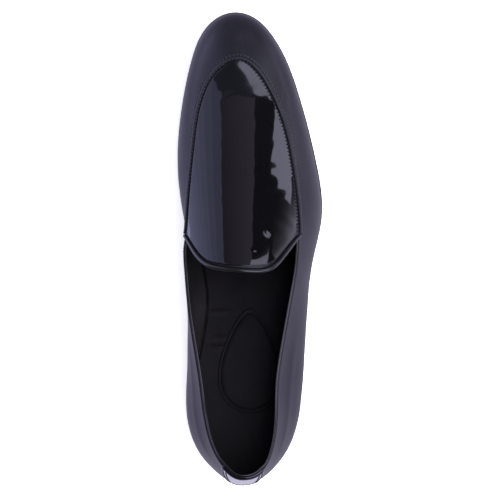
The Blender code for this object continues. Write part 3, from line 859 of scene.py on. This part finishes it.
stitch = seam["overEdge"]
line = apronEdgeLine(stitch, seam["stitchSteps"])
stitchPiece(
    "edgeStitches", [line], seam["pitch"], stitch["size"], darkThreadFinish, "calf", stitch["turned"]
)
stitch = seam["runAlong"]
line = seamLine(stitch["below"], stitch["rise"], seam["stitchSteps"])
stitchPiece("seamStitches", [line], seam["pitch"], stitch["size"], threadFinish, "calf")
print("apron seam made")


# Throat piping along the tongue's edge
throat = {
    "width": 0.0030, "steps": 160, "ring": 16, "ends": 1.0, "rise": 0.0006,
    "slimmed": 0.28, "slimFrom": 0.75,
}
across = np.linspace(-throat["ends"], throat["ends"], throat["steps"] + 1)
edgeX, edgeY = vampPlan(across, tongueEdge(across))
edge = np.stack((edgeX, edgeY, vampHeight(edgeX, edgeY)), -1)
normals = vampNormal(edgeX, edgeY)
back = unit(np.cross(unit(np.gradient(edge, axis=0)), normals))
slimming = smoothStep((np.abs(across) - throat["slimFrom"]) / (1 - throat["slimFrom"]))
radius = (1 - throat["slimmed"] * slimming) * throat["width"] / 2
path = edge + back * (radius + last["seatGap"])[:, None]
path += normals * (throat["rise"] - last["wall"] / 2)
tubePiece("throatPiping", path, normals, radius, throat["ring"], pipingFinish, "calf", "throat_binding")


# Heel tab: patent patch at the top of the back, folded over the rim and stitched down its sides; the side
# stitches also paint the shade along its edges
tab = {
    "halfWidth": 0.0122,
    "drop": 0.030,
    "taper": 0.30,
    "grid": (40, 48),
    "foldShare": 0.2,
    "foldRadius": 0.0010,
    "foldTurn": 85,
    "thick": 0.0008,
    "softAngle": 50,
    "stitch": (0.0018, 0.0012, 0.0006),
    "pitch": 0.0021,
    "stitchAndShadeRows": (-0.93, -0.78, 0.78, 0.93),
    "stitchSpan": {"down": 0.95, "across": 0.9, "steps": 60},
}
tabTurns = np.linspace(0, notchTurn / 2, 31)
rimShares = {"below": 0.97, "normal": 0.999}


def rimFrame(side, turn):  # rim point, its way up the wall and its way out
    rim = wallPoint(side, turn, 1.0)
    rise = unit(rim - wallPoint(side, turn, rimShares["below"]))
    return rim, rise, wallNormal(side, turn, rimShares["normal"])


def tabTurn(side, along, fall):  # turn of a point of the tab, which keeps its width as the wall flares
    half = tab["halfWidth"] * (1 - tab["taper"] * fall**2)
    turn = np.zeros_like(along)
    for level in np.unique(fall):
        for s in (-1, 1):
            here = (fall == level) & (side == s)
            x = wallLine(s, tabTurns, tab["drop"] * level)[0][:, 0]
            turn[here] = np.interp((np.abs(along) * half)[here], np.abs(x - x[0]), tabTurns)
    return turn


def tabLine(along, fall, rise):
    side = np.where(along < 0, -1, 1)
    return wallLine(side, tabTurn(side, along, fall), tab["drop"] * fall, rise)


def tabPlace(u, w):  # up the back, then over the rim
    along = 2 * u - 1
    flat = 1 - tab["foldShare"]
    fall = np.round(np.maximum(1 - w / flat, 0), 6)
    side = np.where(along < 0, -1, 1)
    rim, up, out = rimFrame(side, tabTurn(side, along, fall))
    angle = np.radians(tab["foldTurn"] * np.maximum(w - flat, 0) / tab["foldShare"])[:, None]
    fold = rim - out * tab["foldRadius"]
    fold += (tab["foldRadius"] + last["seatGap"]) * (out * np.cos(angle) + up * np.sin(angle))
    return np.where((w < flat)[:, None], tabLine(along, fall, last["seatGap"])[0], fold)


tabSheet = *tab["grid"], tabPlace
heelTab = sheetPiece("heelTab", [tabSheet], (patentFinish,), "patent", "heel_tab")
thicken(heelTab, tab["thick"], outside=True)
softenEdges(heelTab, tab["softAngle"])

# two rows of large dark stitches down each side sit so close that they merge into a dark line: real stitching
# that also paints the shade in the groove beside the tab's edges
stitchRise = last["seatGap"] + tab["thick"]
span = tab["stitchSpan"]
down = np.linspace(0.0, span["down"], span["steps"])
across = np.linspace(-span["across"], span["across"], span["steps"])
lines = [tabLine(np.full_like(down, inset), down, stitchRise) for inset in tab["stitchAndShadeRows"]]
lines.append(tabLine(across, np.full_like(across, span["down"]), stitchRise))
stitchPiece("tabStitchesAndShade", lines, tab["pitch"], tab["stitch"], darkThreadFinish, "patent")
print("heel tab made")


# Collar piping on the quarters' rim; at the back it lies inside the tab's fold
collar = {
    "width": 0.0013,
    "steps": 300,
    "ring": 14,
    "ends": 0.985,
    "fromOutside": {"medial": 0.00145, "lateral": 0.00085, "tab": 0.00180, "tabBlend": 0.004},
    "tuck": {"from": 0.093, "to": 0.118, "inward": 0.0002, "down": 0.0002, "slimmed": 0.55},
}
u = np.linspace(0, 1, collar["steps"] + 1)
side = np.where(u < 0.5, -1, 1)
turn = np.abs(2 * u - 1) * notchTurn * collar["ends"]
rim, rise, normals = rimFrame(side, turn)
places = collar["fromOutside"]
inside = np.where(side > 0, places["lateral"], places["medial"])
offMiddle = np.abs(rim[:, 0] - rim[np.argmin(turn), 0])
pastTab = smoothStep((offMiddle - tab["halfWidth"]) / places["tabBlend"])
inside = between((places["tab"], inside), pastTab)
# ahead of the waist the medial one is skived thin and tucked in
tuck = collar["tuck"]
tucked = np.where(side > 0, 0, smoothStep((rim[:, 1] - tuck["from"]) / (tuck["to"] - tuck["from"])))
radius = (1 - tuck["slimmed"] * tucked) * collar["width"] / 2
above = radius + last["seatGap"] - tuck["down"] * tucked
inside += tuck["inward"] * tucked
path = rim + rise * above[:, None] - normals * inside[:, None]
tubePiece("collarPiping", path, normals, radius, collar["ring"], pipingFinish, "calf", "collar_binding")

# bar tacks across the rim where collar, seam and throat meet
tack = {
    "turns": (0.955, 0.995), "steps": 20, "below": 0.0012,
    "pitch": 0.0016, "size": (0.0026, 0.0007, 0.0006), "turned": 90,
}
turn = np.linspace(*tack["turns"], tack["steps"]) * notchTurn
lines = [wallLine(s, turn, tack["below"]) for s in (-1, 1)]
stitchPiece(
    "barTacks", lines, tack["pitch"], tack["size"], threadFinish, "calf", tack["turned"]
)
print("bindings made")


# Insole and its bare heel sock
insole = {
    "thick": 0.0025,
    "play": 0.0002,
    "grid": (44, 420),
    "dish": 0.0007,
    "creases": [
        {"x": -0.020, "y": 0.1088, "run": 0.007, "width": 0.0014, "height": 0.0006},
        {"x": -0.017, "y": 0.0925, "run": 0.006, "width": 0.0016, "height": 0.00045},
        {"x": -0.020, "y": 0.0866, "run": 0.006, "width": 0.0014, "height": 0.0008},
    ],
}
insoleInset = last["soleEdge"] + last["wall"] + insole["play"]


def insoleTop(station):
    return soleTop(station) + last["seatGap"] + insole["thick"]


def insolePlace(u, w):
    turn = math.pi * w
    medial, lateral = (insetPlan(side, turn, insoleInset) for side in (-1, 1))
    plan = medial + (lateral - medial) * u[:, None]
    x, y = plan.T
    dish = insole["dish"] * (np.abs(2 * u - 1) ** 3 - 1)
    relief = creased(dish, insole["creases"], x, y)
    return withHeight(plan, insoleTop(y / last["length"]) + relief)


insoleSheet = *insole["grid"], insolePlace
insoleBoard = sheetPiece("insoleBoard", [insoleSheet], (sockFinish,), "lining", "insole")
thicken(insoleBoard, insole["thick"] - insole["dish"])

sock = {
    "back": 0.045,
    "front": 0.111,
    "width": 0.041,
    "middle": 0.0005,
    "middleShare": 0.42,
    "drop": (1.28, 0.56),
    "thick": 0.0009,
    "sheet": 0.0003,
    "grid": (96, 60),
    "border": 0.93,
    "groove": {"depth": 0.45, "width": 0.02},
    "edge": {"depth": 0.50, "from": 0.80, "over": 0.20},
    "stitch": (0.0013, 0.0004, 0.0003),
    "stitchSteps": 300,
    "pitch": 0.0020,
}


def sockPoint(u, w):  # from the middle out to the drop's edge
    turn = math.pi * (1 - np.abs(1 - 2 * u))
    share = stationOf(turn)
    ends = sock["back"], sock["front"]
    half = sock["width"] / 2 * np.sin(turn) * between(sock["drop"], share)
    middleY = between(ends, sock["middleShare"])
    x = sock["middle"] + np.where(u < 0.5, 1, -1) * half * w
    y = middleY + (between(ends, share) - middleY) * w
    groove, edge = sock["groove"], sock["edge"]
    sunk = groove["depth"] * hump(w, sock["border"], groove["width"])
    sunk = sunk + edge["depth"] * smoothStep((w - edge["from"]) / edge["over"])
    floor = insoleTop(y / last["length"]) + last["seatGap"] - insole["dish"] / 2
    return np.stack((x, y, floor + sock["thick"] * (1 - sunk)), -1)


sockSheet = *sock["grid"], sockPoint
heelSock = sheetPiece("heelSock", [sockSheet], (sockFinish,), "lining", "heel_sock", turned=True)
thicken(heelSock, sock["sheet"])

u = np.linspace(0, 1, sock["stitchSteps"])
path = sockPoint(u, np.full_like(u, sock["border"]))
line = path, np.tile((0.0, 0.0, 1.0), (len(path), 1))
stitchPiece("sockStitches", [line], sock["pitch"], sock["stitch"], darkThreadFinish, "lining")
print("insole made")


# Sole unit with its sloping heel, and the heel lift behind the wing-shaped joint
sole = {
    "grid": (150, 10),
    "archHeight": 0.0088,
    "arch": (0.175, 0.385, 0.600),
    "toeSpring": 0.0114,
    "springStart": 0.715,
    "springPower": 1.9,
    "axisEnds": (0.036, 0.964),
    "treadInset": 0.006,
    "edgeRound": 0.0012,
    "edgeLift": 0.0001,
    "flank": ((0.5, 0.3), (0.15, 0.6)),
    "topRound": (0.0004, 0.0005),
    "topInset": 0.0040,
    "liftThick": 0.0060,
    "jointGap": 0.0008,
    "softAngle": 60,
    "apex": (-0.0061, 0.0338),
    "medialWing": (0.0215, 0.0116),
    "lateralWing": (0.0092, 0.0091),
}


def soleBottom(station):
    start, crown, end = sole["arch"]
    arch = smoothStep((station - start) / (crown - start)) - smoothStep((station - crown) / (end - crown))
    past = np.maximum(0, station - sole["springStart"]) / (1 - sole["springStart"])
    return sole["archHeight"] * arch + sole["toeSpring"] * past ** sole["springPower"]


def soleRows(side, turn):
    # from the middle of the tread round the edge to the middle of the top: plan and height
    station = stationOf(turn)
    low, high = soleBottom(station), soleTop(station)
    cuts = [np.interp(station, bevelTable["station"], bevelTable[s]) for s in ("lateral", "medial")]
    cut = np.where(side > 0, *cuts)
    rounding = sole["edgeRound"]
    topInset, topFall = sole["topRound"]
    foot = low + np.minimum(rounding, 0.25 * (high - low))
    middle = np.clip(station, *sole["axisEnds"])  # stays inside the rows round the ends
    axis = np.stack((between(last["soleAxis"], middle), last["length"] * middle), -1)
    rows = [(axis, soleBottom(middle))]
    for inset, height in (
        (cut + sole["treadInset"], low),
        (cut + 1.5 * rounding, low),
        (cut + 0.5 * rounding, low + sole["edgeLift"]),
        (cut, foot),
        *((share * cut, between((foot, high), rise)) for share, rise in sole["flank"]),
        (0, high - topFall),
        (topInset, high),
        (sole["topInset"], high),
    ):
        rows.append((insetPlan(side, turn, inset), height))
    return rows + [(axis, soleTop(middle))]


def solePlace(u, w):
    side = np.where(u < 0.5, 1, -1)
    turn = math.pi * (1 - np.abs(1 - 2 * u))
    rows = np.array([withHeight(plan, height) for plan, height in soleRows(side, turn)])
    row = np.rint(w * (len(rows) - 1)).astype(int)
    return rows[row, np.arange(len(u))]


def soleForm(name, node):
    soleSheet = *sole["grid"], solePlace
    piece = sheetPiece(name, [soleSheet], (rubberFinish,), "rubber", node, turned=True)
    smooth = piece.modifiers.new("smooth", "SUBSURF")
    smooth.levels = smooth.render_levels = 1
    return piece


def jointLine(x, gap):
    apexX, apexY = sole["apex"]
    wings = zip(sole["medialWing"], sole["lateralWing"])
    rise, reach = (np.where(x < apexX, medial, lateral) for medial, lateral in wings)
    away = (x - apexX) ** 2
    return apexY - gap + rise * away / (away + reach**2)


blockMake = {"width": 0.1, "steps": 120, "back": -0.02, "below": 0.003}


def liftBlock(name, gap, height):
    def place(u, w):
        x = sole["apex"][0] + blockMake["width"] * (u - 0.5)
        return np.stack((x, between((blockMake["back"], jointLine(x, gap)), w), np.full_like(x, height)), -1)

    bm = bmesh.new()
    addSheet(bm, blockMake["steps"], 1, place)
    pulled = bmesh.ops.extrude_face_region(bm, geom=bm.faces[:])["geom"]
    below = [g for g in pulled if isinstance(g, bmesh.types.BMVert)]
    bmesh.ops.translate(bm, verts=below, vec=(0, 0, -height - blockMake["below"]))
    bmesh.ops.recalc_face_normals(bm, faces=bm.faces)
    return makeObject(name, bm)


def carve(piece, block, operation):
    cut = piece.modifiers.new("joint", "BOOLEAN")
    cut.operation = operation
    cut.object = block
    bpy.context.view_layer.update()
    shown = piece.evaluated_get(bpy.context.evaluated_depsgraph_get())
    baked = bpy.data.meshes.new_from_object(shown)
    piece.modifiers.clear()
    piece.data = baked
    bpy.data.objects.remove(block)
    softenEdges(piece, sole["softAngle"])


soleUnit = soleForm("soleUnit", "outsole")
carve(soleUnit, liftBlock("pocketBlock", 0.0, sole["liftThick"] + last["seatGap"]), "DIFFERENCE")
heelLift = soleForm("heelLift", "heel_lift")
carve(heelLift, liftBlock("liftBlock", sole["jointGap"], sole["liftThick"]), "INTERSECT")

ring = {"x": 0.0041, "y": 0.0976, "across": 0.0077, "bead": 0.0007, "steps": 48, "ring": 8, "weld": 1e-6}
around = np.linspace(0, 2 * math.pi, ring["steps"] + 1)
ringX = ring["x"] + ring["across"] / 2 * np.cos(around)
ringY = ring["y"] + ring["across"] / 2 * np.sin(around)
path = np.stack((ringX, ringY, soleBottom(ringY / last["length"])), -1)
down = np.tile((0.0, 0.0, -1.0), (len(path), 1))
tubePiece("waistRing", path, down, ring["bead"] / 2, ring["ring"], rubberFinish, "rubber", capped=False,
          weldAt=ring["weld"])
print("sole made")


# Stage, light and camera
stage = {
    "size": 8.0,
    "drop": 0.0002,
    "look": {
        "Base Color": (0.90, 0.90, 0.91, 1),
        "Emission Color": (1, 1, 1, 1),
        "Emission Strength": 0.75,
        "Roughness": 0.9,
        "Specular IOR Level": 0.1,
    },
}
bm = bmesh.new()
under = Matrix.Translation((0, 0, -stage["drop"]))
bmesh.ops.create_grid(bm, x_segments=1, y_segments=1, size=stage["size"] / 2, matrix=under)
paleFloor = makeObject("paleFloor", bm)
floorFinish = bpy.data.materials.new("paleFloorFinish")
floorFinish.use_nodes = True
for label, value in stage["look"].items():
    floorFinish.node_tree.nodes["Principled BSDF"].inputs[label].default_value = value
paleFloor.data.materials.append(floorFinish)
paleFloor.visible_glossy = False  # the dark leather mirrors the room, not the white floor

# each panel: place, size, radiance from one side to the other, and colour;
# one with a turn faces the floor, the others face the shoe and may be rolled
panels = {
    "leftBox": {
        "at": (-2.34, 1.72, 1.30), "turn": 13.5, "size": (3.0, 3.35),
        "radiance": (2.0, 0.50), "colour": (0.60, 0.62, 1.0), "diffuse": True,
    },
    "overheadBox": {
        "at": (-0.18, 1.26, 1.30), "turn": 0, "size": (1.28, 1.64),
        "radiance": (0.07, 0.27), "colour": (0.88, 0.76, 1.0),
    },
    "frontOverheadBox": {
        "at": (-0.23, 0.03, 1.30), "turn": 0, "size": (1.18, 0.82),
        "radiance": (0.10, 0.10), "colour": (0.62, 0.72, 1.0),
    },
    "highRightBox": {
        "at": (1.0, -0.269, 1.28), "turn": 11, "size": (1.95, 1.5),
        "radiance": (1.9, 1.9), "colour": (0.76, 0.77, 1.0),
    },
    "midRightBox": {
        "at": (1.07, 0.66, 0.81), "roll": -20, "size": (0.205, 0.54),
        "radiance": (2.0, 2.0), "colour": (0.77, 0.75, 1.0),
    },
    "lowRightBox": {
        "at": (1.96, 0.20, 0.22), "size": (2.6, 0.36),
        "radiance": (1.6, 1.6), "colour": (0.84, 0.81, 1.0),
    },
    "lowFrontBox": {
        "at": (1.517, 1.098, 0.83), "roll": -55, "size": (0.30, 0.85),
        "radiance": (0.0, 1.5), "fade": 3, "colour": (0.86, 0.83, 1.0),
    },
    "lowLeftBox": {
        "at": (-1.90, 0.55, 0.36), "size": (3.0, 0.60),
        "radiance": (2.4, 1.2), "colour": (0.62, 0.61, 1.0), "diffuse": True,
    },
    "frontBox": {
        "at": (0.65, 1.88, 1.30), "turn": 0, "size": (1.33, 0.64),
        "radiance": (1.6, 1.6), "colour": (0.80, 0.79, 1.0),
    },
    "ceiling": {
        "at": (1.35, -0.5, 2.3), "turn": 0, "size": (2.6, 3.0),
        "radiance": (6.2, 6.2), "colour": (1, 1, 1), "diffuse": True, "glossy": False,
    },
}
panelStrips = 10


def hangPanel(name, panel):
    middle = Vector(panel["at"])
    turned = Quaternion((0, 0, 1), math.radians(panel.get("turn", panel.get("roll", 0))))
    facing = turned if "turn" in panel else (-middle).to_track_quat("-Z", "Y") @ turned
    width, height = panel["size"]
    strips = 1 if panel["radiance"][0] == panel["radiance"][1] else panelStrips
    for i in range(strips):
        share = (i + 0.5) / strips
        light = bpy.data.lights.new(name, "AREA")
        light.shape = "RECTANGLE"
        light.size, light.size_y = width / strips, height
        radiance = between(panel["radiance"], share ** panel.get("fade", 1))
        light.energy = radiance * math.pi * light.size * light.size_y
        light.color = panel["colour"]
        lamp = bpy.data.objects.new(name, light)
        lamp.location = middle + facing @ Vector((width * (share - 0.5), 0, 0))
        lamp.rotation_euler = facing.to_euler()
        lamp.visible_camera = False
        lamp.visible_glossy = panel.get("glossy", True)
        lamp.visible_diffuse = panel.get("diffuse", False)
        bpy.context.scene.collection.objects.link(lamp)


for name, panel in panels.items():
    hangPanel(name, panel)

# a room that is dim overhead and paler low down: colour by how far a way goes up it;
# glows stand low on the left, behind and on the right
room = {
    "up": (-0.16, 0.0, 0.987),
    "ramp": {
        -1.00: (0.50, 0.47, 0.63),
        -0.55: (0.40, 0.36, 0.55),
        0.00: (0.30, 0.27, 0.45),
        0.25: (0.030, 0.032, 0.042),
    },
    "glows": [
        {"way": (-0.88, 0.32, -0.35), "narrow": 10.0, "colour": (0.52, 0.55, 0.82)},
        {"way": (0.0, -0.50, -0.87), "narrow": 12.0, "colour": (0.25, 0.26, 0.31)},
        {"way": (0.90, 0.10, -0.42), "narrow": 5.0, "colour": (0.17, 0.155, 0.22)},
    ],
}
world = bpy.data.worlds.new("dimRoom")
world.use_nodes = True
tree = world.node_tree
looked = tree.nodes.new("ShaderNodeTexCoord").outputs["Generated"]


def lookedAlong(way):
    return mathNode(tree, "DOT_PRODUCT", looked, way, kind="ShaderNodeVectorMath")


height = remap(tree, lookedAlong(room["up"]), (-1, 1), (0, 1))
ramp = addNode(tree, "ShaderNodeValToRGB", Fac=height)
while len(ramp.color_ramp.elements) < len(room["ramp"]):
    ramp.color_ramp.elements.new(0.5)
for stop, (level, colour) in zip(ramp.color_ramp.elements, room["ramp"].items()):
    stop.position = (level + 1) / 2
    stop.color = (*colour, 1)
lit = ramp.outputs["Color"]
for glow in room["glows"]:
    nearness = mathNode(tree, "MAXIMUM", lookedAlong(glow["way"]), 0.0)
    nearness = mathNode(tree, "POWER", nearness, glow["narrow"])
    lit = mixColours(tree, nearness, lit, glow["colour"], blend="ADD")
tree.links.new(lit, tree.nodes["Background"].inputs["Color"])
bpy.context.scene.world = world
bpy.context.scene.view_settings.view_transform = "Standard"

cameraMake = {
    "height": 1.6, "frameWidth": 0.319, "planeHeight": 0.015, "middle": (0.0, -0.0017), "sensor": 36,
}
cameraData = bpy.data.cameras.new("overhead")
cameraData.sensor_width = cameraMake["sensor"]
reach = cameraMake["height"] - cameraMake["planeHeight"]
cameraData.lens = cameraMake["sensor"] * reach / cameraMake["frameWidth"]
camera = bpy.data.objects.new("overhead", cameraData)
camera.location = (*cameraMake["middle"], cameraMake["height"])
bpy.context.scene.collection.objects.link(camera)
bpy.context.scene.camera = camera
print("stage set")
